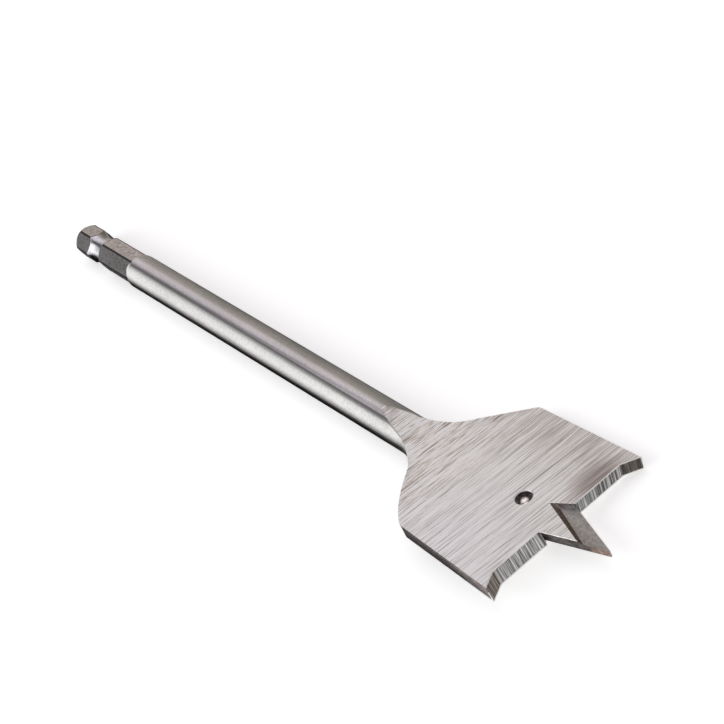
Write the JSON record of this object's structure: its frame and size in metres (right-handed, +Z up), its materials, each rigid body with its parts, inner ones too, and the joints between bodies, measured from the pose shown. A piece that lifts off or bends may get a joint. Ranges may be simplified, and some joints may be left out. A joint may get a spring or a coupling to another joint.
{
  "type": "spade drill bit",
  "caption": "Flat wood-boring bit: a round shank with a hexagonal quick-change end, forged out into a thin blade with a long centre point, cutting edges, corner spurs and a small hole.",
  "frame": {"origin": "centre of the bounding box's bottom face, on the surface that the bit lies on", "axes": "+X along the shank from the point to the hexagonal end, +Z up, +Y across the blade"},
  "size_m": [0.178, 0.035, 0.0073],
  "materials": {
    "ground_tool_steel": "bare tool steel, ground across the blade, satin on the shank"
  },
  "bodies": {
    "root": {"spade_bit": "ground_tool_steel"}
  },
  "joints": []
}
